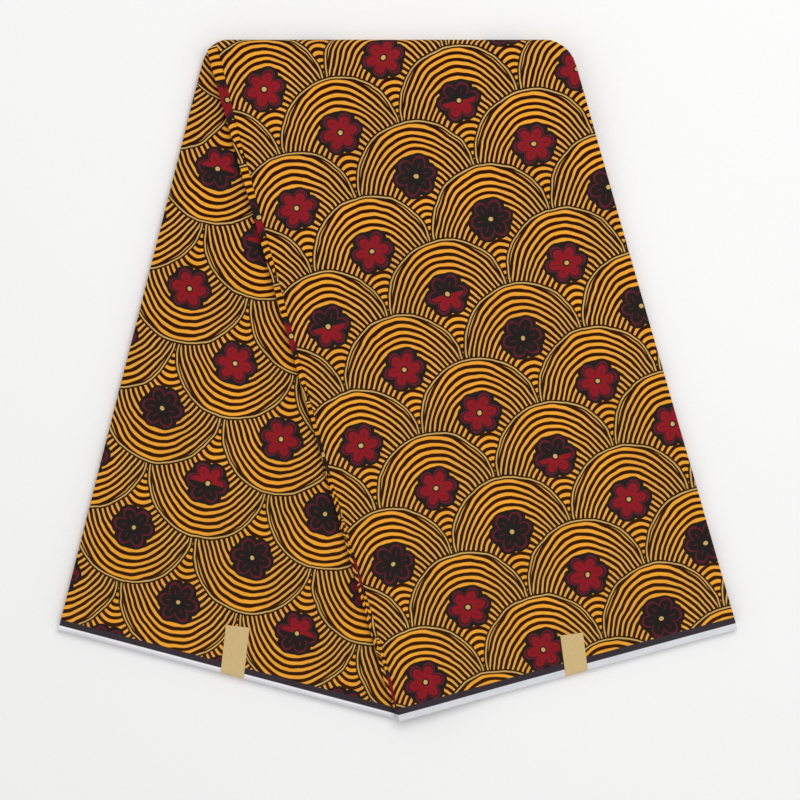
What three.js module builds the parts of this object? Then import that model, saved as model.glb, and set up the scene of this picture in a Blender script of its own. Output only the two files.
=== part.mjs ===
// A length of wax print cotton, folded back and forth into a long band of layers. The band is bent over at the
// top, so that its front leg lies on its back leg, and the two fan out. It rests on the plane z = 0.
import * as THREE from "three";

// Driving sizes, in millimetres and degrees. Depth is measured down the plan from the top fold.
const layerCount = 17;
const layerPitch = 0.5;
const sheetWall = 1;
const seamGap = 0.3;
const foldLine = 329.2;
const foldRadius = 10;
const leftCornerRadius = 20.3;
const rightCornerRadius = 22.8;

// Each leg's outer edge, the edge that the fan hides or crosses, and its hem
const backLeg = {
  outerTilt: 14.27,
  innerTilt: 14.1,
  cornerDepth: 538.8,
  hemTilt: 14.73,
};
const frontLeg = {
  outerTilt: 16.04,
  innerTilt: 15.7,
  innerLead: 3.6,
  cornerDepth: 538.4,
  hemTilt: 15.16,
};

// How far the front leg's folds stand back from its inner edge, at depths down the leg
const foldSetBack = [
  { depth: 8, top: 10.5, second: 0, hidden: 3 },
  { depth: 43, top: 9.5, second: 0, hidden: 3 },
  { depth: 82, top: 7.8, second: 0, hidden: 2.5 },
  { depth: 184, top: 6.8, second: 0, hidden: 2 },
  { depth: 243, top: 6.4, second: 0, hidden: 2 },
  { depth: 327, top: 4.4, second: 0, hidden: 1.5 },
  { depth: 380, top: 4, second: 0.6, hidden: 0 },
  { depth: 416, top: 4.2, second: 2, hidden: 0 },
  { depth: 550, top: 6.5, second: 3.4, hidden: 0 },
  { depth: 586, top: 6.8, second: 3.4, hidden: 0 },
  { depth: 606, top: 6, second: 3.4, hidden: 0.5 },
  { depth: 617, top: 3.6, second: 3, hidden: 2.5 },
];

// How the front leg settles on the back leg, and comes down to the surface beside it
const settleRun = 80;
const dropStart = 14;
const dropRun = 85;
const dropFade = 60;

// The layers that end out of sight, just past the bend, and the ramp that the others make there
const returnLength = 12;
const rampStart = 14;
const rampEnd = 20;

// Paper labels: the middle of the top edge, and the turn against the plan
const labelWall = 0.6;
const labelClear = 0.45;
const labelFoot = 0.6;
const labelBevel = 0.2;
const labels = [
  { name: "back_label", leg: backLeg, x: -137.5, depth: 535.9, width: 21.6, turn: 6.5 },
  { name: "front_label", leg: frontLeg, x: 167.5, depth: 542.9, width: 20.8, turn: -7.5 },
];

// Grid of the cloth: columns across the band, rows down each leg, steps round the bend
const columns = 20;
const backColumns = 6;
const secondFoldColumns = 3;
const backRows = 4;
const frontRows = 16;
const bendSteps = 8;
const labelColumns = 2;

// Rounding of a single sheet's edge, and of the beads that the hidden folds make
const sheetLevels = [
  { share: 0, inset: 0.35 },
  { share: 0.5, inset: 0 },
  { share: 1, inset: 0.35 },
];
const beadCount = 4;
const beadDepth = 0.8;
const beadBevel = 0.25;

// Rounds of the search for the point where a slanting line meets the hem
const hemRounds = 6;

// Worked out from the driving sizes
const stackHeight = layerCount * layerPitch;
const foldGap = 2 * (foldRadius - stackHeight);
const sheetPitch = sheetWall + seamGap;
const halfFold = foldLine / 2;

const mix = THREE.MathUtils.lerp;
const smooth = (value) => THREE.MathUtils.smoothstep(value, 0, 1);
const slope = (degrees) => Math.tan(THREE.MathUtils.degToRad(degrees));

// The rounded corners of the outline
function cornerInset(radius, depth) {
  const short = Math.max(radius - depth, 0);
  return radius - Math.sqrt(radius * radius - short * short);
}

function outlineLeft(depth) {
  return -halfFold - slope(backLeg.outerTilt) * depth + cornerInset(leftCornerRadius, depth);
}

function outlineRight(depth) {
  return halfFold + slope(frontLeg.outerTilt) * depth - cornerInset(rightCornerRadius, depth);
}

function backRight(depth) {
  return halfFold - slope(backLeg.innerTilt) * depth - cornerInset(rightCornerRadius, depth);
}

// The set-back of a layer's fold from the front leg's inner edge, between the rows of the table
function setBack(layer, depth) {
  const last = foldSetBack.length - 1;
  if (depth <= foldSetBack[0].depth) return foldSetBack[0][layer];
  if (depth >= foldSetBack[last].depth) return foldSetBack[last][layer];
  const next = foldSetBack.findIndex((row) => row.depth > depth);
  const [above, below] = [foldSetBack[next - 1], foldSetBack[next]];
  return mix(above[layer], below[layer], (depth - above.depth) / (below.depth - above.depth));
}

function frontLeft(depth, layer) {
  const inner = -halfFold - frontLeg.innerLead + slope(frontLeg.innerTilt) * depth;
  return Math.max(inner + (layer ? setBack(layer, depth) : 0), outlineLeft(depth));
}

// The plan edges of one layer: share 0 is the back leg, 1 the front leg, and the bend lies between them
function edgesAt(share, depth, layer) {
  return {
    left: mix(outlineLeft(depth), frontLeft(depth, layer), share),
    right: mix(backRight(depth), outlineRight(depth), share),
  };
}

// Places across the band: the layer's own edges, and columns between them that all layers share
function acrossAt(share, depth, layer, column, count, inset) {
  const own = edgesAt(share, depth, layer);
  const common = edgesAt(share, depth, null);
  if (column === 0) return own.left + inset;
  if (column === count) return own.right - inset;
  return mix(common.left, common.right, column / count);
}

// The hem of a leg, a straight line through its outer corner
function hemAt(leg, x) {
  const side = leg === backLeg ? -1 : 1;
  const cornerX = side * (halfFold + slope(leg.outerTilt) * leg.cornerDepth);
  return leg.cornerDepth + slope(leg.hemTilt) * Math.abs(x - cornerX);
}

// The underside of the front leg: on the back leg, then down to the surface beside it
function frontBase(x, depth) {
  const below = depth - foldRadius;
  const lift = stackHeight + mix(foldGap, seamGap, smooth(below / settleRun));
  const beyond = (x - backRight(depth)) * Math.cos(THREE.MathUtils.degToRad(backLeg.innerTilt));
  const drop = smooth((beyond - dropStart) / dropRun) * smooth(below / dropFade);
  return lift * (1 - drop);
}

// A point of the band. The offset is how deep it lies under the outermost face of the bend.
function bandPoint(station, layer, column, count, offset, sideInset, endInset) {
  if (station.part === "bend") {
    const radius = foldRadius - offset;
    const depth = foldRadius - radius * Math.sin(station.turn);
    const share = (1 - Math.cos(station.turn)) / 2;
    const x = acrossAt(share, depth, layer, column, count, sideInset);
    return [x, -depth, foldRadius - radius * Math.cos(station.turn)];
  }
  const isFront = station.part === "front";
  const leg = isFront ? frontLeg : backLeg;
  const xAt = (depth) => acrossAt(isFront ? 1 : 0, depth, layer, column, count, sideInset);
  let hem = leg.cornerDepth;
  for (let round = 0; round < hemRounds; round += 1) hem = hemAt(leg, xAt(hem));
  const start = foldRadius + station.reach;
  const depth = mix(start, hem - endInset, station.share);
  const x = xAt(depth);
  return [x, -depth, isFront ? frontBase(x, depth) + stackHeight - offset : offset];
}

// A closed solid on a grid of points: size and place count across, along and through the piece
function gridMesh(name, material, size, pointAt) {
  const known = new Map();
  const positions = [];
  const faces = [];
  const vertex = (place) => {
    const key = place.join();
    if (!known.has(key)) {
      known.set(key, positions.length / 3);
      positions.push(...pointAt(...place));
    }
    return known.get(key);
  };
  for (let axis = 0; axis < 3; axis += 1) {
    const [u, v] = [(axis + 1) % 3, (axis + 2) % 3];
    for (const end of [0, size[axis]]) {
      for (let p = 0; p < size[u]; p += 1) {
        for (let q = 0; q < size[v]; q += 1) {
          const at = (alongU, alongV) => {
            const place = [end, end, end];
            place[u] = p + alongU;
            place[v] = q + alongV;
            return vertex(place);
          };
          const [first, second, third, fourth] = [at(0, 0), at(1, 0), at(1, 1), at(0, 1)];
          if (end) faces.push(first, second, third, first, third, fourth);
          else faces.push(first, third, second, first, fourth, third);
        }
      }
    }
  }
  const geometry = new THREE.BufferGeometry();
  geometry.setAttribute("position", new THREE.Float32BufferAttribute(positions, 3));
  geometry.setIndex(faces);
  geometry.computeVertexNormals();
  const mesh = new THREE.Mesh(geometry, material);
  mesh.name = name;
  return mesh;
}

// Stations along the band
const steps = (count) => Array.from({ length: count + 1 }, (_, step) => step / count);
const bend = steps(bendSteps).map((share) => ({ part: "bend", turn: share * Math.PI }));
const backFlat = steps(backRows).map((share) => ({ part: "back", reach: rampEnd, share }));
const frontFlat = steps(frontRows).map((share) => ({ part: "front", reach: rampEnd, share }));
const short = (part, reach) => ({ part, reach, share: 0 });

const frontSheetPath = [
  short("back", returnLength),
  ...bend,
  short("front", rampStart),
  ...frontFlat,
];
const backSheetPath = [
  ...backFlat.toReversed(),
  short("back", rampStart),
  ...bend,
  short("front", returnLength),
];
const hiddenPath = [
  ...backFlat.toReversed(),
  short("back", rampStart),
  ...bend,
  short("front", rampStart),
  ...frontFlat,
];

// One sheet of cloth that shows, at its place in the stack
function clothSheet(name, material, layer, path, outerFace, count, lastColumn = count) {
  const size = [lastColumn, path.length - 1, sheetLevels.length - 1];
  return gridMesh(name, material, size, (across, along, through) => {
    const { share, inset } = sheetLevels[through];
    const atEnd = along === 0 || along === size[1];
    const offset = outerFace + share * sheetWall;
    return bandPoint(path[along], layer, across, count, offset, inset, atEnd ? inset : 0);
  });
}

// The layers between, from hem to hem, with a bead for every few folds along the edges and the hems
function hiddenLayers(name, material) {
  const levels = [];
  for (let bead = 0; bead < beadCount; bead += 1) {
    levels.push({ share: bead / beadCount, inset: beadDepth });
    levels.push({ share: (bead + beadBevel) / beadCount, inset: 0 });
    levels.push({ share: (bead + 1 - beadBevel) / beadCount, inset: 0 });
  }
  levels.push({ share: 1, inset: beadDepth });
  const size = [columns, hiddenPath.length - 1, levels.length - 1];
  return gridMesh(name, material, size, (across, along, through) => {
    const station = hiddenPath[along];
    const pastRamp = station.reach === rampEnd;
    const sheetsOver = across > secondFoldColumns ? 1 : 2;
    const outer = station.part === "back" && pastRamp ? 0 : sheetsOver * sheetPitch;
    const inner = station.part === "front" && pastRamp ? stackHeight : stackHeight - sheetPitch;
    const { share, inset } = levels[through];
    const endInset = along === 0 || along === size[1] ? inset : 0;
    return bandPoint(station, "hidden", across, columns, mix(outer, inner, share), inset, endInset);
  });
}

// A paper label: over the hem's face, and down its end
function paperLabel({ name, leg, x, depth, width, turn }, material) {
  const angle = THREE.MathUtils.degToRad(turn);
  const down = [-Math.sin(angle), Math.cos(angle)];
  const across = [Math.cos(angle), Math.sin(angle)];
  // Each row: whether it is at the hem, then how far past it and how high the outer and inner faces are
  const face = stackHeight + seamGap;
  const outside = labelClear + labelWall;
  const rows = [
    { atHem: false, outer: [0, face + labelWall], inner: [0, face] },
    { atHem: true, outer: [labelBevel, face + labelWall], inner: [0, face] },
    { atHem: true, outer: [outside, face], inner: [labelClear, stackHeight - labelBevel] },
    { atHem: true, outer: [outside, labelFoot], inner: [labelClear, labelFoot] },
  ];
  return gridMesh(name, material, [labelColumns, rows.length - 1, 1], (column, row, through) => {
    const aside = (column / labelColumns - 0.5) * width;
    const start = [x + aside * across[0], depth + aside * across[1]];
    let run = 0;
    for (let round = 0; round < hemRounds; round += 1) {
      run = (hemAt(leg, start[0] + run * down[0]) - start[1]) / down[1];
    }
    const { atHem, outer, inner } = rows[row];
    const [past, height] = through ? inner : outer;
    const length = (atHem ? run : 0) + past;
    return [start[0] + length * down[0], -(start[1] + length * down[1]), height];
  });
}

const cloth = (color) => new THREE.MeshStandardMaterial({ color, roughness: 0.72, metalness: 0 });
const paper = () => new THREE.MeshStandardMaterial({ color: "#c9b079", roughness: 0.6, metalness: 0 });

const fabric = new THREE.Group();
fabric.add(
  hiddenLayers("hidden_layers", cloth("#8a5c22")),
  clothSheet("back_top_layer", cloth("#b8761f"), null, backSheetPath, stackHeight - sheetWall, backColumns),
  clothSheet("front_top_layer", cloth("#b8761f"), "top", frontSheetPath, 0, columns),
  clothSheet(
    "front_second_fold",
    cloth("#a2681f"),
    "second",
    frontSheetPath,
    sheetPitch,
    columns,
    secondFoldColumns,
  ),
  ...labels.map((label) => paperLabel(label, paper())),
);

// The origin is the middle of the footprint, on the surface that the cloth lies on
const middle = new THREE.Box3().setFromObject(fabric).getCenter(new THREE.Vector3());
fabric.position.set(-middle.x, -middle.y, 0);

export default fabric;
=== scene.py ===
# A length of wax print cotton: folded back and forth into a band, and bent once over at the top
import math

import bpy
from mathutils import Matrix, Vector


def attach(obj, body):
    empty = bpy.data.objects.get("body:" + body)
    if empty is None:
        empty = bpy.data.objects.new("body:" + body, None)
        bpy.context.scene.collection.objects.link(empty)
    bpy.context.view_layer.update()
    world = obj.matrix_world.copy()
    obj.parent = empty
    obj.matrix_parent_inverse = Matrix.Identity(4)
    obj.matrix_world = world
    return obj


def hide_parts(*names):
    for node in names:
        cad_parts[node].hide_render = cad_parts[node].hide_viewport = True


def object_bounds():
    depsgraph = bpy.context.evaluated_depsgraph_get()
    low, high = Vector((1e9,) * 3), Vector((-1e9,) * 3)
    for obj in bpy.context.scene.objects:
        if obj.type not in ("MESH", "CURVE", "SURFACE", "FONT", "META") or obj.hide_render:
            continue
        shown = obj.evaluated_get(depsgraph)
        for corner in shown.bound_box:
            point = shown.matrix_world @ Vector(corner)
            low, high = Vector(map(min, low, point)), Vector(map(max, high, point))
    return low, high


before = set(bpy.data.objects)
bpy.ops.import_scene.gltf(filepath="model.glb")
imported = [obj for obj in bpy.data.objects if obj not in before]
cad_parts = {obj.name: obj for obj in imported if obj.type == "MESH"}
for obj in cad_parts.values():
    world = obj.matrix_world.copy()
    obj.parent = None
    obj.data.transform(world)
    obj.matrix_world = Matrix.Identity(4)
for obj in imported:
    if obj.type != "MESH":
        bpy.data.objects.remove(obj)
cadLow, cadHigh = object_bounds()  # the solids' box
mm = 0.001

# The folded band. Depth is measured down the plan from the top fold, x to the right from its middle.
band = {
    "layerCount": 17,
    "layerPitch": 0.5 * mm,
    "clothThickness": 0.28 * mm,
    "clothWidth": 1200 * mm,  # from selvedge to selvedge
    "foldLine": 329.2 * mm,
    "foldRadius": 10 * mm,
    "leftCornerRadius": 20.3 * mm,
    "rightCornerRadius": 22.8 * mm,
    "settleRun": 80 * mm,  # over which the front leg settles on the back leg
    "seamGap": 0.3 * mm,
    "dropStart": 14 * mm,  # how it comes down to the surface beside the back leg
    "dropRun": 85 * mm,
    "dropFade": 60 * mm,
    "columns": 32,
    "legRows": 28,
    "rowCrowding": 1.6,  # rows lie closer near the top fold, for its rounded corners
    "bendSteps": 16,
    "slackRun": 55 * mm,  # where a layer's spare length goes, behind the bend
    "turnSteps": 4,
    "rowsPastBend": 3,  # rows that a top layer goes on past the bend before its hidden stretch begins
    "hemRounds": 6,  # rounds of the search for the point where a slanting line meets the hem
    "sharpAngle": 60,
}
backLeg = {
    "side": -1,
    "firstHem": 10,  # numbers of its layers' hems
    "outerTilt": 14.27,
    "innerTilt": 14.1,
    "cornerDepth": 538.8 * mm,
    "hemTilt": 14.73,
}
frontLeg = {
    "side": 1,
    "firstHem": 70,
    "outerTilt": 16.04,
    "innerTilt": 15.7,
    "innerLead": 3.6 * mm,
    "cornerDepth": 538.4 * mm,
    "hemTilt": 15.16,
}

# How far the front leg's folds stand back from its inner edge, in mm, at depths down the leg
foldSetBack = {
    "depth": (8, 43, 82, 184, 243, 327, 380, 416, 550, 586, 606, 617),
    "top": (10.5, 9.5, 7.8, 6.8, 6.4, 4.4, 4, 4.2, 6.5, 6.8, 6, 3.6),
    "second": (0, 0, 0, 0, 0, 0, 0.6, 2, 3.4, 3.4, 3.4, 3),
    "third": (3, 3, 2.5, 2, 2, 1.5, 0, 0, 0, 0, 0.5, 2.5),
}

# Loose cloth is never dead straight: folds and hems wander inwards, and the pile swells and sinks
looseness = {
    "foldWander": 0.9 * mm,  # where folds and hems lie under others
    "hemWander": 1.7 * mm,
    "shownWander": 0.15 * mm,
    "firstRightFold": 20,  # number of the first fold on the right
    "stagger": 0.618,  # from one fold to the next, as a share of the reach
    "waveShare": 0.45,
    "longWave": 61 * mm,
    "longStart": 2.4,
    "shortWave": 17 * mm,
    "shortStart": 1.7,
    "shortShare": 0.5,
    "swell": 0.03,  # share of the height
    "swellWaves": ((33 * mm, 52 * mm, 0.4), (71 * mm, -38 * mm, 2.1), (24 * mm, 95 * mm, 4.0)),
}

stackHeight = band["layerCount"] * band["layerPitch"]
halfFold = band["foldLine"] / 2
foldGap = 2 * (band["foldRadius"] - stackHeight)
turnRadius = band["layerPitch"] / 2
bandWidth = band["foldLine"] * math.cos(math.radians(backLeg["hemTilt"]))  # of one layer, square across


def mix(start, end, share):
    return start + (end - start) * share


def smooth(value):
    value = min(max(value, 0), 1)
    return value * value * (3 - 2 * value)


def slope(degrees):
    return math.tan(math.radians(degrees))


def cornerInset(radius, depth):
    short = max(radius - depth, 0)
    return radius - math.sqrt(radius * radius - short * short)


def outlineLeft(depth):
    return -halfFold - slope(backLeg["outerTilt"]) * depth + cornerInset(band["leftCornerRadius"], depth)


def outlineRight(depth):
    return halfFold + slope(frontLeg["outerTilt"]) * depth - cornerInset(band["rightCornerRadius"], depth)


def backRight(depth):
    return halfFold - slope(backLeg["innerTilt"]) * depth - cornerInset(band["rightCornerRadius"], depth)


def setBack(fold, depth):
    depths = foldSetBack["depth"]
    offsets = foldSetBack[("top", "second", "third")[min(fold, 2)]]
    depth = depth / mm
    if depth <= depths[0]:
        return offsets[0] * mm
    for row in range(1, len(depths)):
        if depth <= depths[row]:
            share = (depth - depths[row - 1]) / (depths[row] - depths[row - 1])
            return mix(offsets[row - 1], offsets[row], share) * mm
    return offsets[-1] * mm


def frontLeft(fold, depth):
    inner = -halfFold - frontLeg["innerLead"] + slope(frontLeg["innerTilt"]) * depth
    return max(inner + setBack(fold, depth), outlineLeft(depth))


# The inward wander of a fold or hem. Each has its own number, and those that show stay the straightest.
def wander(number, along, reach, shown):
    reach = looseness["shownWander"] if shown else reach
    longWave = math.sin(along / looseness["longWave"] + looseness["longStart"] * number)
    shortWave = math.sin(along / looseness["shortWave"] + looseness["shortStart"] * number * number)
    waves = (longWave + looseness["shortShare"] * shortWave) / (1 + looseness["shortShare"])
    ownPlace = (looseness["stagger"] * number) % 1
    return reach * mix(ownPlace, (waves + 1) / 2, looseness["waveShare"])


# The left and right edge of a layer. Share 0 is the back leg, 1 the front leg, and the bend lies between.
def layerEdges(layer, depth, share):
    leftFold = layer // 2
    rightFold = (layer + 1) // 2
    last = band["layerCount"] // 2
    left = mix(outlineLeft(depth), frontLeft(leftFold, depth), share)
    right = mix(backRight(depth), outlineRight(depth), share)
    reach = looseness["foldWander"]
    left += wander(leftFold, depth, reach, leftFold in (0, 1, 2, last))
    right -= wander(rightFold + looseness["firstRightFold"], depth, reach, rightFold == 0)
    return left, right


# The hem is a straight line through the leg's outer corner
def hemDepth(leg, x):
    cornerX = leg["side"] * (halfFold + slope(leg["outerTilt"]) * leg["cornerDepth"])
    return leg["cornerDepth"] + slope(leg["hemTilt"]) * leg["side"] * (cornerX - x)


def hemInset(leg, layer, x):
    shown = layer in (0, band["layerCount"] - 1)
    return wander(layer + leg["firstHem"], x, looseness["hemWander"], shown)


# The underside of the front leg: on the back leg, then down to the surface beside it
def frontBase(x, depth):
    below = depth - band["foldRadius"]
    lift = stackHeight + mix(foldGap, band["seamGap"], smooth(below / band["settleRun"]))
    beyond = (x - backRight(depth)) * math.cos(math.radians(backLeg["innerTilt"]))
    drop = smooth((beyond - band["dropStart"]) / band["dropRun"]) * smooth(below / band["dropFade"])
    return lift * (1 - drop)


def swollen(x, depth, z):
    waves = sum(
        math.sin(x / across + depth / down + start)
        for across, down, start in looseness["swellWaves"]
    )
    return z * (1 + looseness["swell"] * waves / len(looseness["swellWaves"]))


# Where a plan point lies on the flat cloth: across the band, and up from the back hem
def clothPlace(x, depth, part, radius, turn, hemGain):
    backTilt = math.radians(backLeg["hemTilt"])
    frontTilt = math.radians(frontLeg["hemTilt"])
    foldRadius = band["foldRadius"]
    frontStart = band["clothWidth"] - (hemDepth(frontLeg, x) - foldRadius) * math.cos(frontTilt)
    if part == "front":
        across = x * math.cos(frontTilt) - depth * math.sin(frontTilt)
        return across, frontStart + (depth - foldRadius) * math.cos(frontTilt) + hemGain
    bendStart = frontStart - radius * math.pi * math.cos(frontTilt)
    if part == "bend":
        share = turn / math.pi
        tilt = mix(backTilt, frontTilt, share)
        across = x * math.cos(tilt) + mix(foldRadius, -foldRadius, share) * math.sin(tilt)
        return across, mix(bendStart, frontStart, share)
    across = x * math.cos(backTilt) + depth * math.sin(backTilt)
    along = (hemDepth(backLeg, x) - depth) * math.cos(backTilt) - hemGain
    slack = bendStart - (hemDepth(backLeg, x) - foldRadius) * math.cos(backTilt)
    return across, along + slack * smooth(1 - (depth - foldRadius) / band["slackRun"])


# Stations run from the back hem over the bend to the front hem
def bandStations():
    rows = [(row / band["legRows"]) ** band["rowCrowding"] for row in range(band["legRows"] + 1)]
    back = [("back", share) for share in reversed(rows)]
    front = [("front", share) for share in rows]
    steps = range(1, band["bendSteps"])
    return back + [("bend", step / band["bendSteps"] * math.pi) for step in steps] + front


# One point of one layer: its place in the plan, its height, and its place on the flat cloth
def layerPoint(station, layer, share, foldTurn):
    part, value = station
    offset = (layer + 0.5) * band["layerPitch"] + turnRadius * (1 - math.cos(foldTurn))
    aside = turnRadius * math.sin(foldTurn) * (-1 if share < 0.5 else 1)
    radius = band["foldRadius"] - offset
    if part == "bend":
        depth = band["foldRadius"] - radius * math.sin(value)
        legShare = (1 - math.cos(value)) / 2
        left, right = layerEdges(layer, depth, legShare)
        x = mix(left + turnRadius, right - turnRadius, share) + aside
        z = band["foldRadius"] - radius * math.cos(value)
        across, along = clothPlace(x, depth, part, radius, value, 0)
        return x, depth, swollen(x, depth, z), across, along
    leg = backLeg if part == "back" else frontLeg
    legShare = 0 if part == "back" else 1
    hem = leg["cornerDepth"]
    for _ in range(band["hemRounds"]):
        left, right = layerEdges(layer, hem, legShare)
        x = mix(left + turnRadius, right - turnRadius, share) + aside
        hem = hemDepth(leg, x)
    inset = hemInset(leg, layer, x)
    depth = mix(band["foldRadius"], hem - inset, value)
    left, right = layerEdges(layer, depth, legShare)
    x = mix(left + turnRadius, right - turnRadius, share) + aside
    z = offset if part == "back" else frontBase(x, depth) + stackHeight - offset
    across, along = clothPlace(x, depth, part, radius, None, inset * value)
    return x, depth, swollen(x, depth, z), across, along


# Even layers run from right to left and odd ones back, with a tight turn between them
def foldedStops(firstLayer, firstShare, lastLayer, lastShare):
    stops = []
    for layer in range(firstLayer, lastLayer + 1):
        start = firstShare if layer == firstLayer else 1 - layer % 2
        end = lastShare if layer == lastLayer else layer % 2
        count = max(2, round(abs(end - start) * band["columns"]))
        for step in range(count + 1):
            stops.append((layer, mix(start, end, step / count), 0))
        if layer < lastLayer:
            for step in range(1, band["turnSteps"]):
                stops.append((layer, end, step / band["turnSteps"] * math.pi))
    return stops


# The plan's own origin, set against the solids' box
planX = cadLow.x - outlineLeft(backLeg["cornerDepth"])
planY = cadHigh.y


def inFrame(x, depth, z):
    return planX + x, planY - depth, z


# A cloth piece is one or more folded stretches of layers. Its map holds real metres on the flat cloth.
def clothPiece(name, stretches, stations, material):
    verts = []
    places = []
    faces = []
    for stretch in stretches:
        stops = foldedStops(*stretch)
        for station in stations:
            base = len(verts)
            lastAcross = None
            for number, (layer, share, foldTurn) in enumerate(stops):
                x, depth, z, across, along = layerPoint(station, layer, share, foldTurn)
                if lastAcross is None:
                    direction = -1 if layer % 2 == 0 else 1
                    length = (layer + 0.5) * bandWidth + direction * across
                else:
                    length += abs(across - lastAcross)
                lastAcross = across
                verts.append(inFrame(x, depth, z))
                places.append((length, along))
                if number and station is not stations[0]:
                    here = base + number
                    above = here - len(stops)
                    faces.append((above - 1, above, here, here - 1))
    mesh = bpy.data.meshes.new(name)
    mesh.from_pydata(verts, [], faces)
    clothMap = mesh.uv_layers.new(name="clothMap")
    for loop in mesh.loops:
        clothMap.data[loop.index].uv = places[loop.vertex_index]
    mesh.materials.append(material)
    piece = bpy.data.objects.new(name, mesh)
    bpy.context.collection.objects.link(piece)
    wall = piece.modifiers.new("clothThickness", "SOLIDIFY")
    wall.thickness = band["clothThickness"]
    wall.offset = 0
    return plainMesh(piece)


# The evaluated shape becomes the piece's own mesh
def plainMesh(piece):
    shape = piece.evaluated_get(bpy.context.evaluated_depsgraph_get())
    mesh = bpy.data.meshes.new_from_object(shape)
    mesh.name = piece.name
    piece.modifiers.clear()
    piece.data = mesh
    mesh.polygons.foreach_set("use_smooth", [True] * len(mesh.polygons))
    mesh.set_sharp_from_angle(angle=math.radians(band["sharpAngle"]))
    return piece


# An sRGB hex value by the sRGB curve, as linear red, green and blue, with a full alpha
def linearColour(hexText):
    parts = [int(hexText[place:place + 2], 16) / 255 for place in (1, 3, 5)]
    return [part / 12.92 if part <= 0.04045 else ((part + 0.055) / 1.055) ** 2.4 for part in parts] + [1]


# Adds a node with its settings, and links or sets its inputs. A node stands for its first output.
# Mix has its vectors at 4 and 5, and its colours at 6 and 7. Map Range goes from 1 and 2 to 3 and 4.
def addNode(tree, kind, settings, inputs):
    node = tree.nodes.new(kind)
    for name, value in settings.items():
        setattr(node, name, value)
    for socket, value in inputs.items():
        if isinstance(value, bpy.types.Node):
            value = value.outputs[0]
        if isinstance(value, bpy.types.NodeSocket):
            tree.links.new(value, node.inputs[socket])
        else:
            node.inputs[socket].default_value = value
    return node


def newMaterial(name):
    material = bpy.data.materials.new(name)
    material.use_nodes = True
    material.node_tree.nodes.clear()
    return material, material.node_tree


# Wax print: fish scales filled with humped lines, and a flower in each. Sizes are in mm on the cloth.
waxPrint = {
    "scaleRadius": 56.0,
    "linePitch": 6.4,
    "flankSqueeze": 1.75,  # the lines crowd together down each flank
    "flankTurn": 0.8,  # where a line counts as all flank
    "crestShare": 0.55,  # how much of the pitch is orange on the crest, and on the flank
    "flankShare": 0.42,
    "fringe": 0.5,
    "rimGap": 4.2,
    "rimLine": (2.1, 0.65),  # middle and half width
    "flowerRise": 4.0,
    "petals": 6,
    "petalReach": (7.5, 15.5),  # between the petals, and at their tips
    "petalRound": 0.7,
    "innerLine": 1.0,
    "outline": 3.4,
    "haloReach": (17.5, 21.0),
    "haloRound": 0.6,
    "heart": (2.0, 3.4),
    "vein": (7.0, 12.0, 0.45),  # start, end and half width
    "dyeEdge": 0.25,  # softness of a dyed edge
    "wobbleReach": 3.6,
    "wobbleSize": 25.0,
    "wobbleDetail": 2.0,
    "redFlowers": 0.42,
    "halfFlowers": 0.25,
    "orange": "#f4a733",
    "cream": "#d2ac66",
    "brown": "#2c0f01",
    "hemBrown": "#371d02",
    "hemBrownReach": 450.0,  # the ground turns yellower over this way to the selvedge
    "fringeBrown": "#561f0b",
    "red": "#8e1b22",
    "maroon": "#5f1f2a",
    "black": "#231f1c",
    "borderBlack": "#3a3339",
    "bareCotton": "#f1f0f3",
    # edge and its grey: painted shade, a grey band along the outer edge of the bare strip; on the front
    # hem it covers the whole strip
    "backHem": {"selvedge": 3.9, "border": 5.5, "edge": 1.9, "edgeShadeGrey": "#dad9de"},
    "frontHem": {"selvedge": 5.3, "border": 6.1, "edge": 5.6, "edgeShadeGrey": "#dddee2"},
    "threadPitch": 0.4,
    "weaveDepth": 0.06,
    "weaveStrength": 0.3,
    "slub": (0.9, 16.0),  # width and length of a thicker stretch of yarn
    "slubDetail": 1.0,
    "slubSpan": (0.7, 1.3),  # the values that two noises added mostly keep to
    "slubShade": (0.94, 1.06),
    "cloudSize": 60.0,
    "cloudDetail": 4.0,
    "cloudRoughness": 0.6,
    "cloudSpan": (0.3, 0.7),  # and those that one does
    "cloudShade": (0.93, 1.05),
    "roughness": (0.62, 0.74),
    "specular": 0.05,
    "sheen": (0.02, 0.4),  # weight and roughness
}


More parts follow.
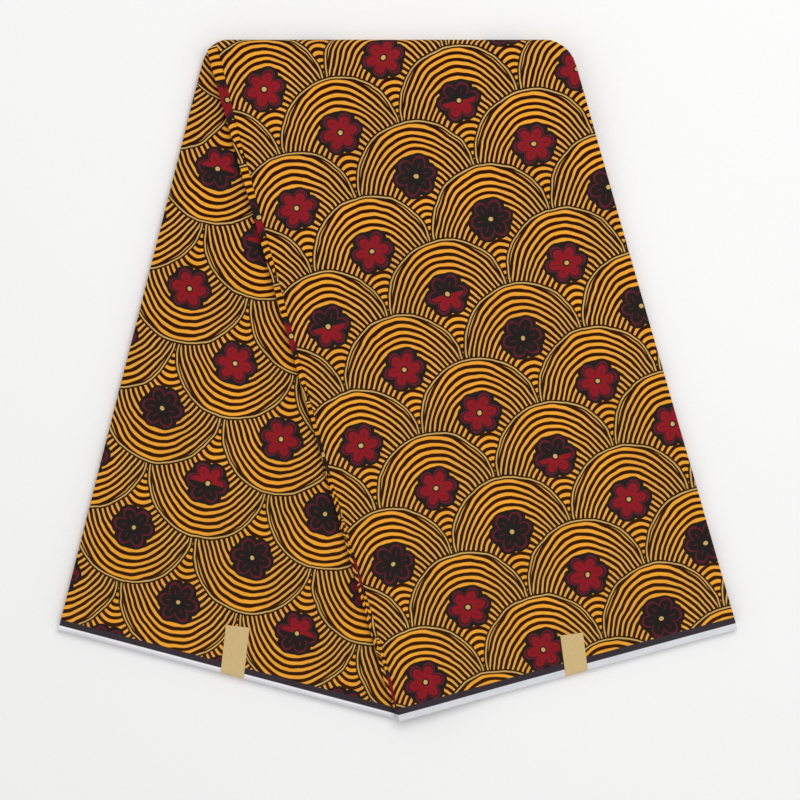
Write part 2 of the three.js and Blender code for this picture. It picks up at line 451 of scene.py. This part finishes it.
# The scale of one row that a point may lie in: whether it does, its place from the middle, and its number
def scaleRowGroup():
    group = bpy.data.node_groups.new("scaleRow", "ShaderNodeTree")
    group.interface.new_socket("Place", in_out="INPUT", socket_type="NodeSocketVector")
    group.interface.new_socket("Row", in_out="INPUT", socket_type="NodeSocketFloat")
    group.interface.new_socket("Inside", in_out="OUTPUT", socket_type="NodeSocketFloat")
    group.interface.new_socket("From middle", in_out="OUTPUT", socket_type="NodeSocketVector")
    group.interface.new_socket("Number", in_out="OUTPUT", socket_type="NodeSocketVector")
    entry = addNode(group, "NodeGroupInput", {}, {})
    place = addNode(group, "ShaderNodeSeparateXYZ", {}, {0: entry.outputs["Place"]})
    odd = addNode(
        group,
        "ShaderNodeMath",
        {"operation": "FLOORED_MODULO"},
        {0: entry.outputs["Row"], 1: 2.0},
    )
    shifted = addNode(group, "ShaderNodeMath", {"operation": "SUBTRACT"}, {0: place, 1: odd})
    # Snap rounds down, so the point is moved on by half a step first
    halfStep = addNode(group, "ShaderNodeMath", {"operation": "ADD"}, {0: shifted, 1: 1.0})
    snapped = addNode(group, "ShaderNodeMath", {"operation": "SNAP"}, {0: halfStep, 1: 2.0})
    column = addNode(group, "ShaderNodeMath", {"operation": "ADD"}, {0: snapped, 1: odd})
    middle = addNode(group, "ShaderNodeCombineXYZ", {}, {0: column, 1: entry.outputs["Row"]})
    away = addNode(
        group,
        "ShaderNodeVectorMath",
        {"operation": "SUBTRACT"},
        {0: entry.outputs["Place"], 1: middle},
    )
    reach = addNode(group, "ShaderNodeVectorMath", {"operation": "LENGTH"}, {0: away})
    inside = addNode(
        group,
        "ShaderNodeMath",
        {"operation": "LESS_THAN"},
        {0: reach.outputs["Value"], 1: 1.0},
    )
    addNode(group, "NodeGroupOutput", {}, {0: inside, 1: away, 2: middle})
    return group


# Lays a dye over the paint so far wherever a measure, in mm, is under its limit
def dyeWhere(tree, paint, dye, measure, limit):
    edge = waxPrint["dyeEdge"]
    cover = addNode(
        tree,
        "ShaderNodeMapRange",
        {"interpolation_type": "SMOOTHSTEP"},
        {0: measure, 1: limit - edge, 2: limit + edge, 3: 1.0, 4: 0.0},
    )
    coat = addNode(tree, "ShaderNodeMix", {"data_type": "RGBA"}, {0: cover, 6: paint, 7: dye})
    return coat.outputs[2]


# Wax print cotton, plain-woven and dyed on both sides: matt, with a faint sheen of wax and starch
def waxPrintCotton():
    material, tree = newMaterial("waxPrintCotton")
    radius = waxPrint["scaleRadius"]
    clothMap = addNode(tree, "ShaderNodeUVMap", {"uv_map": "clothMap"}, {})
    inMm = addNode(tree, "ShaderNodeVectorMath", {"operation": "SCALE"}, {0: clothMap, "Scale": 1 / mm})
    # A slow wobble, as of a design drawn by hand
    drift = addNode(
        tree,
        "ShaderNodeTexNoise",
        {"noise_dimensions": "2D"},
        {"Vector": inMm, "Scale": 1 / waxPrint["wobbleSize"], "Detail": waxPrint["wobbleDetail"]},
    )
    centred = addNode(
        tree,
        "ShaderNodeVectorMath",
        {"operation": "SUBTRACT"},
        {0: drift.outputs["Color"], 1: (0.5, 0.5, 0.5)},
    )
    wobble = addNode(
        tree,
        "ShaderNodeVectorMath",
        {"operation": "SCALE"},
        {0: centred, "Scale": waxPrint["wobbleReach"]},
    )
    drawn = addNode(tree, "ShaderNodeVectorMath", {"operation": "ADD"}, {0: inMm, 1: wobble})
    flat = addNode(
        tree,
        "ShaderNodeVectorMath",
        {"operation": "MULTIPLY"},
        {0: drawn, 1: (1 / radius, -1 / radius, 0)},
    )
    height = addNode(tree, "ShaderNodeSeparateXYZ", {}, {0: flat})
    row = addNode(tree, "ShaderNodeMath", {"operation": "FLOOR"}, {0: height.outputs["Y"]})
    nextRow = addNode(tree, "ShaderNodeMath", {"operation": "ADD"}, {0: row, 1: 1.0})
    group = scaleRowGroup()
    # A scale of the point's own row lies over those of the next one
    over = addNode(tree, "ShaderNodeGroup", {"node_tree": group}, {0: flat, 1: row})
    under = addNode(tree, "ShaderNodeGroup", {"node_tree": group}, {0: flat, 1: nextRow})
    picked = addNode(
        tree,
        "ShaderNodeMix",
        {"data_type": "VECTOR"},
        {0: over, 4: under.outputs["From middle"], 5: over.outputs["From middle"]},
    )
    number = addNode(
        tree,
        "ShaderNodeMix",
        {"data_type": "VECTOR"},
        {0: over, 4: under.outputs["Number"], 5: over.outputs["Number"]},
    )
    fromMiddle = addNode(
        tree,
        "ShaderNodeVectorMath",
        {"operation": "SCALE"},
        {0: picked.outputs[1], "Scale": radius},
    )

    # Humped lines, nested round the foot of the scale
    squeezed = addNode(
        tree,
        "ShaderNodeVectorMath",
        {"operation": "MULTIPLY_ADD"},
        {0: fromMiddle, 1: (waxPrint["flankSqueeze"], 1, 0), 2: (0, radius, 0)},
    )
    hump = addNode(tree, "ShaderNodeVectorMath", {"operation": "LENGTH"}, {0: squeezed})
    phase = addNode(
        tree,
        "ShaderNodeMath",
        {"operation": "FLOORED_MODULO"},
        {0: hump.outputs["Value"], 1: waxPrint["linePitch"]},
    )
    aimed = addNode(tree, "ShaderNodeVectorMath", {"operation": "NORMALIZE"}, {0: squeezed})
    aimedParts = addNode(tree, "ShaderNodeSeparateXYZ", {}, {0: aimed})
    flank = addNode(tree, "ShaderNodeMath", {"operation": "MULTIPLY"}, {0: aimedParts, 1: aimedParts})
    darkShare = addNode(
        tree,
        "ShaderNodeMapRange",
        {},
        {
            0: flank,
            1: 0.0,
            2: waxPrint["flankTurn"],
            3: (1 - waxPrint["crestShare"]) * waxPrint["linePitch"],
            4: (1 - waxPrint["flankShare"]) * waxPrint["linePitch"],
        },
    )
    line = addNode(tree, "ShaderNodeMath", {"operation": "SUBTRACT"}, {0: darkShare, 1: phase})
    lineDye = addNode(
        tree,
        "ShaderNodeMix",
        {"data_type": "RGBA"},
        {0: flank, 6: linearColour(waxPrint["orange"]), 7: linearColour(waxPrint["cream"])},
    )
    # The far side of each line fades back into the ground too
    lineEnd = addNode(
        tree,
        "ShaderNodeMath",
        {"operation": "SUBTRACT"},
        {0: phase, 1: waxPrint["linePitch"] - 2 * waxPrint["dyeEdge"]},
    )
    lineBody = addNode(tree, "ShaderNodeMath", {"operation": "MAXIMUM"}, {0: line, 1: lineEnd})
    ends = addNode(tree, "ShaderNodeSeparateXYZ", {}, {0: inMm})
    fromFrontHem = addNode(
        tree,
        "ShaderNodeMath",
        {"operation": "SUBTRACT"},
        {0: band["clothWidth"] / mm, 1: ends.outputs["Y"]},
    )
    fromHem = addNode(
        tree,
        "ShaderNodeMath",
        {"operation": "MINIMUM"},
        {0: ends.outputs["Y"], 1: fromFrontHem},
    )
    hemShare = addNode(
        tree,
        "ShaderNodeMapRange",
        {},
        {0: fromHem, 1: 0.0, 2: waxPrint["hemBrownReach"], 3: 1.0, 4: 0.0},
    )
    ground = addNode(
        tree,
        "ShaderNodeMix",
        {"data_type": "RGBA"},
        {0: hemShare, 6: linearColour(waxPrint["brown"]), 7: linearColour(waxPrint["hemBrown"])},
    )
    brown = ground.outputs[2]
    paint = dyeWhere(tree, brown, linearColour(waxPrint["fringeBrown"]), lineBody, waxPrint["fringe"])
    paint = dyeWhere(tree, paint, lineDye.outputs[2], lineBody, 0.0)

    # The rim: a dark gap with one pale line in it
    reach = addNode(tree, "ShaderNodeVectorMath", {"operation": "LENGTH"}, {0: fromMiddle})
    fromRim = addNode(
        tree,
        "ShaderNodeMath",
        {"operation": "SUBTRACT"},
        {0: radius, 1: reach.outputs["Value"]},
    )
    paint = dyeWhere(tree, paint, brown, fromRim, waxPrint["rimGap"])
    rimMiddle, rimHalf = waxPrint["rimLine"]
    rimLine = addNode(tree, "ShaderNodeMath", {"operation": "SUBTRACT"}, {0: fromRim, 1: rimMiddle})
    rimAway = addNode(tree, "ShaderNodeMath", {"operation": "ABSOLUTE"}, {0: rimLine})
    paint = dyeWhere(tree, paint, linearColour(waxPrint["cream"]), rimAway, rimHalf)

    # The flower: its petals are in red, in black, or in both
    fromHeart = addNode(
        tree,
        "ShaderNodeVectorMath",
        {"operation": "SUBTRACT"},
        {0: fromMiddle, 1: (0, waxPrint["flowerRise"], 0)},
    )
    heartParts = addNode(tree, "ShaderNodeSeparateXYZ", {}, {0: fromHeart})
    heartReach = addNode(tree, "ShaderNodeVectorMath", {"operation": "LENGTH"}, {0: fromHeart})
    angle = addNode(
        tree,
        "ShaderNodeMath",
        {"operation": "ARCTAN2"},
        {0: heartParts.outputs["Y"], 1: heartParts},
    )
    halfPetals = waxPrint["petals"] / 2
    petalTurn = addNode(tree, "ShaderNodeMath", {"operation": "MULTIPLY"}, {0: angle, 1: halfPetals})
    lobes = addNode(tree, "ShaderNodeMath", {"operation": "COSINE"}, {0: petalTurn})
    lobe = addNode(tree, "ShaderNodeMath", {"operation": "ABSOLUTE"}, {0: lobes})
    rounded = addNode(tree, "ShaderNodeMath", {"operation": "POWER"}, {0: lobe, 1: waxPrint["petalRound"]})
    inner, outer = waxPrint["petalReach"]
    petal = addNode(
        tree,
        "ShaderNodeMath",
        {"operation": "MULTIPLY_ADD"},
        {0: rounded, 1: outer - inner, 2: inner},
    )
    petalEdge = addNode(
        tree,
        "ShaderNodeMath",
        {"operation": "SUBTRACT"},
        {0: heartReach.outputs["Value"], 1: petal},
    )
    chance = addNode(
        tree,
        "ShaderNodeTexWhiteNoise",
        {"noise_dimensions": "2D"},
        {"Vector": number.outputs[1]},
    )
    isRed = addNode(
        tree,
        "ShaderNodeMath",
        {"operation": "LESS_THAN"},
        {0: chance, 1: waxPrint["redFlowers"]},
    )
    isHalf = addNode(
        tree,
        "ShaderNodeMath",
        {"operation": "GREATER_THAN"},
        {0: chance, 1: 1 - waxPrint["halfFlowers"]},
    )
    lowHalf = addNode(
        tree,
        "ShaderNodeMath",
        {"operation": "LESS_THAN"},
        {0: heartParts.outputs["Y"], 1: 0.0},
    )
    halfRed = addNode(tree, "ShaderNodeMath", {"operation": "MULTIPLY"}, {0: isHalf, 1: lowHalf})
    redShare = addNode(tree, "ShaderNodeMath", {"operation": "ADD"}, {0: isRed, 1: halfRed})
    black = linearColour(waxPrint["black"])
    petalDye = addNode(
        tree,
        "ShaderNodeMix",
        {"data_type": "RGBA"},
        {0: redShare, 6: black, 7: linearColour(waxPrint["red"])},
    )
    haloLobe = addNode(tree, "ShaderNodeMath", {"operation": "POWER"}, {0: lobe, 1: waxPrint["haloRound"]})
    haloInner, haloOuter = waxPrint["haloReach"]
    halo = addNode(
        tree,
        "ShaderNodeMath",
        {"operation": "MULTIPLY_ADD"},
        {0: haloLobe, 1: haloOuter - haloInner, 2: haloInner},
    )
    haloEdge = addNode(
        tree,
        "ShaderNodeMath",
        {"operation": "SUBTRACT"},
        {0: heartReach.outputs["Value"], 1: halo},
    )
    paint = dyeWhere(tree, paint, black, haloEdge, 0.0)
    paint = dyeWhere(tree, paint, linearColour(waxPrint["maroon"]), petalEdge, waxPrint["outline"])
    paint = dyeWhere(tree, paint, black, petalEdge, waxPrint["innerLine"])
    paint = dyeWhere(tree, paint, petalDye.outputs[2], petalEdge, 0.0)

    # A dark vein down the middle of each petal
    veinStart, veinEnd, veinHalf = waxPrint["vein"]
    veinMiddle = (veinStart + veinEnd) / 2
    sway = addNode(tree, "ShaderNodeMath", {"operation": "SINE"}, {0: petalTurn})
    swayAway = addNode(tree, "ShaderNodeMath", {"operation": "ABSOLUTE"}, {0: sway})
    swayMm = addNode(
        tree,
        "ShaderNodeMath",
        {"operation": "MULTIPLY"},
        {0: swayAway, 1: veinMiddle / halfPetals},
    )
    veinPlace = addNode(
        tree,
        "ShaderNodeMath",
        {"operation": "SUBTRACT"},
        {0: heartReach.outputs["Value"], 1: veinMiddle},
    )
    veinAway = addNode(tree, "ShaderNodeMath", {"operation": "ABSOLUTE"}, {0: veinPlace})
    veinOver = addNode(
        tree,
        "ShaderNodeMath",
        {"operation": "SUBTRACT"},
        {0: veinAway, 1: (veinEnd - veinStart) / 2 - veinHalf},
    )
    vein = addNode(tree, "ShaderNodeMath", {"operation": "MAXIMUM"}, {0: swayMm, 1: veinOver})
    paint = dyeWhere(tree, paint, linearColour(waxPrint["maroon"]), vein, veinHalf)
    dot, ring = waxPrint["heart"]
    paint = dyeWhere(tree, paint, black, heartReach.outputs["Value"], ring)
    paint = dyeWhere(tree, paint, linearColour(waxPrint["cream"]), heartReach.outputs["Value"], dot)

    # Each hem: a black border, then a strip of bare cotton, with a grey band of painted shade along its
    # outer edge
    bare = linearColour(waxPrint["bareCotton"])
    borderDye = linearColour(waxPrint["borderBlack"])
    for distance, hem in ((ends.outputs["Y"], waxPrint["backHem"]), (fromFrontHem, waxPrint["frontHem"])):
        paint = dyeWhere(tree, paint, borderDye, distance, hem["selvedge"] + hem["border"])
        paint = dyeWhere(tree, paint, bare, distance, hem["selvedge"])
        # Painted shade: grey over the outer edge of the bare strip
        paint = dyeWhere(tree, paint, linearColour(hem["edgeShadeGrey"]), distance, hem["edge"])

    # Cloudy dye, as cotton takes it up unevenly
    cloud = addNode(
        tree,
        "ShaderNodeTexNoise",
        {"noise_dimensions": "2D"},
        {
            "Vector": inMm,
            "Scale": 1 / waxPrint["cloudSize"],
            "Detail": waxPrint["cloudDetail"],
            "Roughness": waxPrint["cloudRoughness"],
        },
    )
    thinCloud, fullCloud = waxPrint["cloudSpan"]
    darkest, palest = waxPrint["cloudShade"]
    cloudShade = addNode(
        tree,
        "ShaderNodeMapRange",
        {},
        {0: cloud, 1: thinCloud, 2: fullCloud, 3: darkest, 4: palest},
    )
    # Slubs, the thicker stretches of yarn in warp and weft, take up a little more or less dye
    slubWidth, slubLength = waxPrint["slub"]
    slubs = []
    for stretch in ((1 / slubWidth, 1 / slubLength, 0), (1 / slubLength, 1 / slubWidth, 0)):
        yarn = addNode(tree, "ShaderNodeVectorMath", {"operation": "MULTIPLY"}, {0: inMm, 1: stretch})
        slubs.append(
            addNode(
                tree,
                "ShaderNodeTexNoise",
                {"noise_dimensions": "2D"},
                {"Vector": yarn, "Scale": 1.0, "Detail": waxPrint["slubDetail"]},
            )
        )
    slub = addNode(tree, "ShaderNodeMath", {"operation": "ADD"}, {0: slubs[0], 1: slubs[1]})
    thinYarn, thickYarn = waxPrint["slubSpan"]
    darker, paler = waxPrint["slubShade"]
    slubShade = addNode(
        tree,
        "ShaderNodeMapRange",
        {},
        {0: slub, 1: thinYarn, 2: thickYarn, 3: darker, 4: paler},
    )
    shade = addNode(tree, "ShaderNodeMath", {"operation": "MULTIPLY"}, {0: cloudShade, 1: slubShade})
    dyed = addNode(tree, "ShaderNodeVectorMath", {"operation": "SCALE"}, {0: paint, "Scale": shade})

    # Plain weave at its real pitch: warp and weft pass over each other in turn
    turns = addNode(
        tree,
        "ShaderNodeVectorMath",
        {"operation": "SCALE"},
        {0: inMm, "Scale": math.pi / waxPrint["threadPitch"]},
    )
    threads = addNode(tree, "ShaderNodeVectorMath", {"operation": "SINE"}, {0: turns})
    threadParts = addNode(tree, "ShaderNodeSeparateXYZ", {}, {0: threads})
    weave = addNode(
        tree,
        "ShaderNodeMath",
        {"operation": "MULTIPLY"},
        {0: threadParts, 1: threadParts.outputs["Y"]},
    )
    relief = addNode(tree, "ShaderNodeMath", {"operation": "ADD"}, {0: weave, 1: slub})
    bump = addNode(
        tree,
        "ShaderNodeBump",
        {},
        {
            "Strength": waxPrint["weaveStrength"],
            "Distance": waxPrint["weaveDepth"] * mm,
            "Height": relief,
        },
    )
    waxy, dry = waxPrint["roughness"]
    roughness = addNode(
        tree,
        "ShaderNodeMapRange",
        {},
        {0: cloud, 1: thinCloud, 2: fullCloud, 3: waxy, 4: dry},
    )
    surface = addNode(
        tree,
        "ShaderNodeBsdfPrincipled",
        {},
        {
            "Base Color": dyed,
            "Roughness": roughness,
            "Normal": bump,
            "Specular IOR Level": waxPrint["specular"],
            "Sheen Weight": waxPrint["sheen"][0],
            "Sheen Roughness": waxPrint["sheen"][1],
        },
    )
    addNode(tree, "ShaderNodeOutputMaterial", {}, {0: surface})
    return material


# A surface whose grain changes its shade and its height a little. The grain's size is in mm.
def grainedMaterial(name, finish):
    material, tree = newMaterial(name)
    place = addNode(tree, "ShaderNodeTexCoord", {}, {})
    grain = addNode(
        tree,
        "ShaderNodeTexNoise",
        {},
        {
            "Vector": place.outputs["Object"],
            "Scale": 1 / (finish["grainSize"] * mm),
            "Detail": finish["grainDetail"],
        },
    )
    shade = addNode(
        tree,
        "ShaderNodeMix",
        {"data_type": "RGBA"},
        {0: grain, 6: linearColour(finish["darker"]), 7: linearColour(finish["lighter"])},
    )
    bump = addNode(
        tree,
        "ShaderNodeBump",
        {},
        {"Strength": finish["bump"], "Distance": finish["grainDepth"] * mm, "Height": grain},
    )
    surface = addNode(
        tree,
        "ShaderNodeBsdfPrincipled",
        {},
        {
            "Base Color": shade.outputs[2],
            "Roughness": finish["roughness"],
            "Normal": bump,
            "Specular IOR Level": finish["specular"],
        },
    )
    addNode(tree, "ShaderNodeOutputMaterial", {}, {0: surface})
    return material


# Camera straight above, with a long lens. The place and width are those of the photograph's frame.
studio = {
    "frameWidth": 730.2 * mm,
    "lens": 200.0,
    "sensor": 36.0,
    "farthest": 50.0,
    "lookAt": (1.86 * mm, -17.95 * mm, 12 * mm),
    "floorSize": 14.0,
    "ambient": 0.62,
    "keyPower": 22.0,
    "keySize": 1.6,
    "keyPlace": (0.5, 0.7, 2.2),
    # Matt white card: an even, dull face with hardly any grain
    "card": {
        "grainSize": 3.0,
        "grainDetail": 2.0,
        "grainDepth": 0.02,
        "bump": 0.1,
        "darker": "#fafaf9",
        "lighter": "#ffffff",
        "roughness": 0.9,
        "specular": 0.1,
    },
}


def buildStudio():
    scene = bpy.context.scene
    scene.view_settings.view_transform = "Standard"
    lens = bpy.data.cameras.new("photoCamera")
    lens.lens = studio["lens"]
    lens.sensor_width = studio["sensor"]
    lens.clip_end = studio["farthest"]
    camera = bpy.data.objects.new("photoCamera", lens)
    x, y, z = studio["lookAt"]
    camera.location = (x, y, z + studio["frameWidth"] * studio["lens"] / studio["sensor"])
    bpy.context.collection.objects.link(camera)
    scene.camera = camera

    world = bpy.data.worlds.new("softRoom")
    scene.world = world
    world.use_nodes = True
    background = world.node_tree.nodes["Background"]
    background.inputs["Color"].default_value = (1, 1, 1, 1)
    background.inputs["Strength"].default_value = studio["ambient"]

    lamp = bpy.data.lights.new("softBox", "AREA")
    lamp.energy = studio["keyPower"]
    lamp.shape = "DISK"
    lamp.size = studio["keySize"]
    softBox = bpy.data.objects.new("softBox", lamp)
    softBox.location = studio["keyPlace"]
    softBox.rotation_euler = (-softBox.location).to_track_quat("-Z", "Y").to_euler()
    bpy.context.collection.objects.link(softBox)

    half = studio["floorSize"] / 2
    mesh = bpy.data.meshes.new("floorCard")
    corners = [(-half, -half, 0), (half, -half, 0), (half, half, 0), (-half, half, 0)]
    mesh.from_pydata(corners, [], [(0, 1, 2, 3)])
    mesh.materials.append(grainedMaterial("mattCard", studio["card"]))
    floor = bpy.data.objects.new("floorCard", mesh)
    bpy.context.collection.objects.link(floor)
    print("studio: camera, lamp and floor")


# The thread that binds each layer's selvedge, swept along the hem by Geometry Nodes
selvedgeThread = {
    "radius": 0.17 * mm,
    "sides": 6,
    # Bleached cotton yarn: pale, soft and matt
    "yarn": {
        "grainSize": 1.1,
        "grainDetail": 3.0,
        "grainDepth": 0.05,
        "bump": 0.3,
        "darker": "#d8d6db",
        "lighter": "#f3f2f4",
        "roughness": 0.8,
        "specular": 0.2,
    },
}


def threadTree(material):
    tree = bpy.data.node_groups.new("selvedgeThread", "GeometryNodeTree")
    tree.interface.new_socket("Geometry", in_out="INPUT", socket_type="NodeSocketGeometry")
    radius = tree.interface.new_socket("Thread radius", in_out="INPUT", socket_type="NodeSocketFloat")
    sides = tree.interface.new_socket("Thread sides", in_out="INPUT", socket_type="NodeSocketInt")
    tree.interface.new_socket("Geometry", in_out="OUTPUT", socket_type="NodeSocketGeometry")
    entry = addNode(tree, "NodeGroupInput", {}, {})
    path = addNode(tree, "GeometryNodeMeshToCurve", {}, {"Mesh": entry.outputs["Geometry"]})
    section = addNode(
        tree,
        "GeometryNodeCurvePrimitiveCircle",
        {},
        {"Radius": entry.outputs["Thread radius"], "Resolution": entry.outputs["Thread sides"]},
    )
    tube = addNode(
        tree,
        "GeometryNodeCurveToMesh",
        {},
        {"Curve": path, "Profile Curve": section, "Fill Caps": True},
    )
    real = addNode(tree, "GeometryNodeRealizeInstances", {}, {"Geometry": tube})
    finished = addNode(tree, "GeometryNodeSetMaterial", {}, {"Geometry": real, "Material": material})
    addNode(tree, "NodeGroupOutput", {}, {0: finished})
    return tree, {radius.identifier: selvedgeThread["radius"], sides.identifier: selvedgeThread["sides"]}


def hemThreads(name, station, layers, tree, values):
    verts = []
    edges = []
    for layer in layers:
        for column in range(band["columns"] + 1):
            x, depth, z, _, _ = layerPoint(station, layer, column / band["columns"], 0)
            if column:
                edges.append((len(verts) - 1, len(verts)))
            verts.append(inFrame(x, depth, z))
    mesh = bpy.data.meshes.new(name)
    mesh.from_pydata(verts, edges, [])
    piece = bpy.data.objects.new(name, mesh)
    bpy.context.collection.objects.link(piece)
    sweep = piece.modifiers.new("selvedgeThread", "NODES")
    sweep.node_group = tree
    for identifier, value in values.items():
        sweep[identifier] = value
    return plainMesh(piece)


# Paper labels: each is a strip that lies on its leg and is wrapped over the hem
paperLabel = {
    "thickness": 0.3 * mm,
    "clear": 0.12 * mm,  # between the strip and the cloth
    "foot": 0.8 * mm,  # how high its end stops above the surface
    "bendRadius": 0.9 * mm,
    "bendSteps": 6,
    "faceRows": 14,
    "columns": 6,
    "curl": 0.5 * mm,  # how far the top edge lifts
    "curlPower": 6,
    # Tan label paper, machine smooth: an even satin face with a few fibres in it
    "paper": {
        "grainSize": 2.4,
        "grainDetail": 5.0,
        "grainDepth": 0.05,
        "bump": 0.15,
        "darker": "#c8ab70",
        "lighter": "#dcc18c",
        "roughness": 0.55,
        "specular": 0.2,
    },
}
# Where each one lies: the middle of its top edge, and its turn against the plan
labels = (
    {
        "name": "backLabel",
        "node": "back_label",
        "leg": backLeg,
        "x": -137.5 * mm,
        "depth": 535.9 * mm,
        "width": 21.6 * mm,
        "turn": 6.5,
    },
    {
        "name": "frontLabel",
        "node": "front_label",
        "leg": frontLeg,
        "x": 167.5 * mm,
        "depth": 542.9 * mm,
        "width": 20.8 * mm,
        "turn": -7.5,
    },
)


def buildLabel(label, material):
    angle = math.radians(label["turn"])
    down = (-math.sin(angle), math.cos(angle))
    across = (math.cos(angle), math.sin(angle))
    half = paperLabel["thickness"] / 2
    face = stackHeight + paperLabel["clear"] + half
    past = paperLabel["clear"] + half
    bend = paperLabel["bendRadius"]
    verts = []
    faces = []
    for column in range(paperLabel["columns"] + 1):
        aside = (column / paperLabel["columns"] - 0.5) * label["width"]
        startX = label["x"] + aside * across[0]
        startDepth = label["depth"] + aside * across[1]
        run = 0
        for _ in range(band["hemRounds"]):
            run = (hemDepth(label["leg"], startX + run * down[0]) - startDepth) / down[1]
        run += past
        # The strip's side view: along the face, round the hem's edge and down its end
        profile = []
        for row in range(paperLabel["faceRows"] + 1):
            share = row / paperLabel["faceRows"]
            lift = paperLabel["curl"] * (1 - share) ** paperLabel["curlPower"]
            profile.append((share * (run - bend), face + lift))
        for step in range(1, paperLabel["bendSteps"] + 1):
            turn = step / paperLabel["bendSteps"] * math.pi / 2
            profile.append((run - bend + bend * math.sin(turn), face - bend + bend * math.cos(turn)))
        profile.append((run, (face - bend + paperLabel["foot"]) / 2))
        profile.append((run, paperLabel["foot"]))
        for number, (length, height) in enumerate(profile):
            x = startX + length * down[0]
            depth = startDepth + length * down[1]
            verts.append(inFrame(x, depth, swollen(x, depth, height)))
            if column and number:
                here = len(verts) - 1
                beside = here - len(profile)
                faces.append((here, here - 1, beside - 1, beside))
    mesh = bpy.data.meshes.new(label["name"])
    mesh.from_pydata(verts, [], faces)
    mesh.materials.append(material)
    piece = bpy.data.objects.new(label["name"], mesh)
    bpy.context.collection.objects.link(piece)
    wall = piece.modifiers.new("paperThickness", "SOLIDIFY")
    wall.thickness = paperLabel["thickness"]
    wall.offset = 0
    plainMesh(piece)
    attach(piece, "root")
    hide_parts(label["node"])
    print("label:", label["name"])


# The first and the last layer each go over the bend, and on out of sight as a piece of their own
stations = bandStations()
backSeam = band["legRows"] - band["rowsPastBend"]
frontSeam = len(stations) - 1 - backSeam
innermost = band["layerCount"] - 1  # the back leg's top layer


# How far up the flat cloth the middle of a layer is at a station
def flatPlace(station, layer):
    return layerPoint(stations[station], layer, 0.5, 0)[-1]


firstSplit = flatPlace(backSeam, 0)
lastSplit = flatPlace(frontSeam, innermost)

# Where the folded length is parted under other layers, as shares of a layer's width
parting = {
    "topFold": 0.1,  # how far a top layer goes on round its fold
    "foldEdge": 0.15,  # how far the next folds reach back from their edge
    "apart": 0.001,
}
topFold = parting["topFold"]
foldEdge = parting["foldEdge"]
pastTop = topFold + parting["apart"]
pastEdge = foldEdge + parting["apart"]

# What each cloth piece takes of the folded length: layer and share across it, at its start and its end
clothPieces = (
    {
        "name": "frontTopCloth",
        "stretches": ((0, 1, 1, topFold),),
        "stations": stations[backSeam:],
        "replaces": "front_top_layer",
        "rests": "hiddenCloth",
        "length": band["clothWidth"] - firstSplit,
    },
    {
        "name": "backUnderCloth",
        "stretches": ((0, 1, 1, topFold),),
        "stations": stations[:backSeam + 1],
        "replaces": "hidden_layers",
        "rests": "floorCard",
        "length": firstSplit,
    },
    {
        "name": "frontFoldEdges",
        "stretches": ((2, foldEdge, 3, foldEdge), (4, foldEdge, 5, foldEdge)),
        "stations": stations,
        "replaces": "front_second_fold",
        "rests": "hiddenCloth",
        "length": band["clothWidth"],
    },
    {
        "name": "backTopCloth",
        "stretches": ((innermost - 1, 1 - topFold, innermost, 0),),
        "stations": stations[:frontSeam + 1],
        "replaces": "back_top_layer",
        "rests": "hiddenCloth",
        "length": lastSplit,
    },
    {
        "name": "frontUnderCloth",
        "stretches": ((innermost - 1, 1 - topFold, innermost, 0),),
        "stations": stations[frontSeam:],
        "replaces": "hidden_layers",
        "rests": "backTopCloth",
        "length": band["clothWidth"] - lastSplit,
    },
    {
        "name": "hiddenCloth",
        "stretches": (
            (1, pastTop, 2, pastEdge),
            (3, pastEdge, 4, pastEdge),
            (5, pastEdge, innermost - 1, 1 - pastTop),
        ),
        "stations": stations,
        "replaces": "hidden_layers",
        "rests": "backUnderCloth",
        "length": band["clothWidth"],
    },
)


def buildCloth():
    cotton = waxPrintCotton()
    for entry in clothPieces:
        piece = clothPiece(entry["name"], entry["stretches"], entry["stations"], cotton)
        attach(piece, "root")
        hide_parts(entry["replaces"])
        print("cloth:", entry["name"], len(piece.data.polygons), "faces")
    tree, values = threadTree(grainedMaterial("selvedgeCotton", selvedgeThread["yarn"]))
    for name, station in (("backHemThreads", ("back", 1)), ("frontHemThreads", ("front", 1))):
        piece = hemThreads(name, station, range(band["layerCount"]), tree, values)
        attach(piece, "root")
    print("selvedge threads on both hems")


buildStudio()
buildCloth()
paper = grainedMaterial("labelPaper", paperLabel["paper"])
for labelEntry in labels:
    buildLabel(labelEntry, paper)
